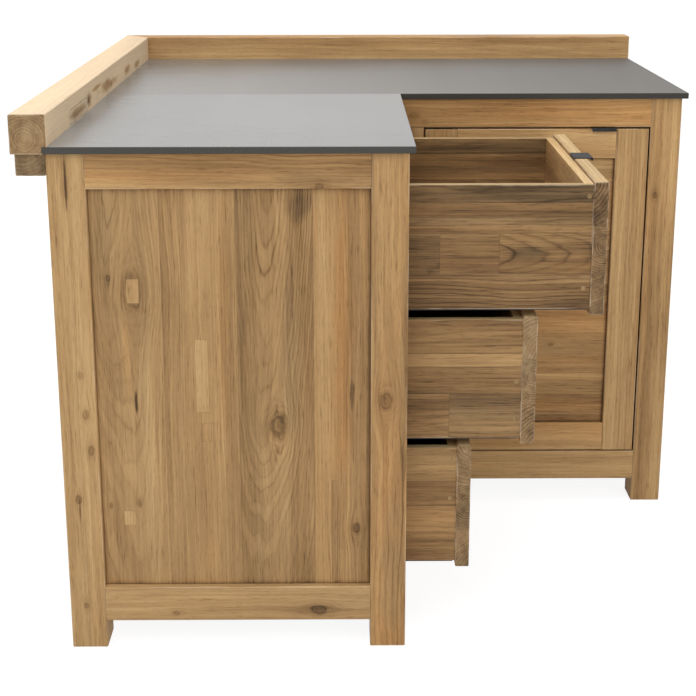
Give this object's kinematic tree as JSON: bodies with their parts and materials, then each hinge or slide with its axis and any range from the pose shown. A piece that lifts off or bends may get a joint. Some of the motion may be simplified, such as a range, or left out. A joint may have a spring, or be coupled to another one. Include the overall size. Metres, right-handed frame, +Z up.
{
  "type": "outdoor kitchen corner cabinet",
  "caption": "L-shaped outdoor kitchen corner cabinet in reclaimed teak with a grey stone worktop, timber upstands, drawers in one wing and a panelled door in the other.",
  "frame": {"origin": "centre of the overall footprint at floor level", "axes": "+Z up, +X to the right along the door wing as seen from the picture, +Y away from the viewer"},
  "size_m": [1.262, 1.262, 0.973],
  "materials": {
    "teak": "matte",
    "worktop_stone": "matte",
    "black_sheet": "matte",
    "runner_steel": "satin",
    "cage_nylon": "matte"
  },
  "bodies": {
    "cabinet": {"post_near_left": "teak", "post_near_right": "teak", "post_corner": "teak", "post_right_front": "teak", "post_right_rear": "teak", "post_rear_left": "teak", "post_left_middle": "teak", "post_rear_middle": "teak", "stile_drawer_bay": "teak", "stile_door": "teak", "rails_end_top": "teak", "rails_end_bottom": "teak", "rails_outer_top": "teak", "rails_outer_bottom": "teak", "rail_drawer_top": "teak", "rail_drawer_bottom": "teak", "rail_door_top": "teak", "rail_door_bottom": "teak", "panel_near": "teak", "panel_right": "teak", "panels_outer": "teak", "panel_divider": "teak", "shelf_bearers": "teak", "shelf": "teak", "cupboard_floor": "teak", "worktop_left": "worktop_stone", "worktop_rear": "worktop_stone", "upstand_left": "teak", "upstand_rear": "teak", "wall_battens": "teak", "runner_bearers": "teak", "runner_channels": "runner_steel", "pivot_pins": "runner_steel"},
    "drawer_bottom": {"drawer_bottom_front": "teak", "drawer_bottom_sides": "teak", "drawer_bottom_ends": "teak", "drawer_bottom_base": "teak", "drawer_bottom_pull": "black_sheet", "drawer_bottom_slides": "runner_steel"},
    "cage_bottom": {"drawer_bottom_cage": "cage_nylon"},
    "drawer_middle": {"drawer_middle_front": "teak", "drawer_middle_sides": "teak", "drawer_middle_ends": "teak", "drawer_middle_base": "teak", "drawer_middle_pull": "black_sheet", "drawer_middle_slides": "runner_steel"},
    "cage_middle": {"drawer_middle_cage": "cage_nylon"},
    "drawer_top": {"drawer_top_front": "teak", "drawer_top_sides": "teak", "drawer_top_ends": "teak", "drawer_top_base": "teak", "drawer_top_pull": "black_sheet", "drawer_top_slides": "runner_steel"},
    "cage_top": {"drawer_top_cage": "cage_nylon"},
    "door": {"door_stile_hinge": "teak", "door_stile_pull": "teak", "door_rails": "teak", "door_panel": "teak", "door_pull": "black_sheet"}
  },
  "joints": [
    {"name": "drawer_bottom_slide", "type": "slide", "parent": "cabinet", "child": "drawer_bottom", "axis": [1, 0, 0], "range_m": [-0.119, 0.226]},
    {"name": "cage_bottom_slide", "type": "slide", "parent": "cabinet", "child": "cage_bottom", "axis": [1, 0, 0], "range_m": [-0.0595, 0.113]},
    {"name": "drawer_middle_slide", "type": "slide", "parent": "cabinet", "child": "drawer_middle", "axis": [1, 0, 0], "range_m": [-0.231, 0.114]},
    {"name": "cage_middle_slide", "type": "slide", "parent": "cabinet", "child": "cage_middle", "axis": [1, 0, 0], "range_m": [-0.1155, 0.057]},
    {"name": "drawer_top_slide", "type": "slide", "parent": "cabinet", "child": "drawer_top", "axis": [1, 0, 0], "range_m": [-0.345, 0]},
    {"name": "cage_top_slide", "type": "slide", "parent": "cabinet", "child": "cage_top", "axis": [1, 0, 0], "range_m": [-0.1725, 0]},
    {"name": "door_hinge", "type": "hinge", "parent": "cabinet", "child": "door", "pos_m": [0.094, -0.017, 0.482], "axis": [0, 0, -1], "range_deg": [0, 11]}
  ],
  "couplings": [
    {"joint": "cage_bottom_slide", "follows": "drawer_bottom_slide", "ratio": 0.5},
    {"joint": "cage_middle_slide", "follows": "drawer_middle_slide", "ratio": 0.5},
    {"joint": "cage_top_slide", "follows": "drawer_top_slide", "ratio": 0.5}
  ]
}
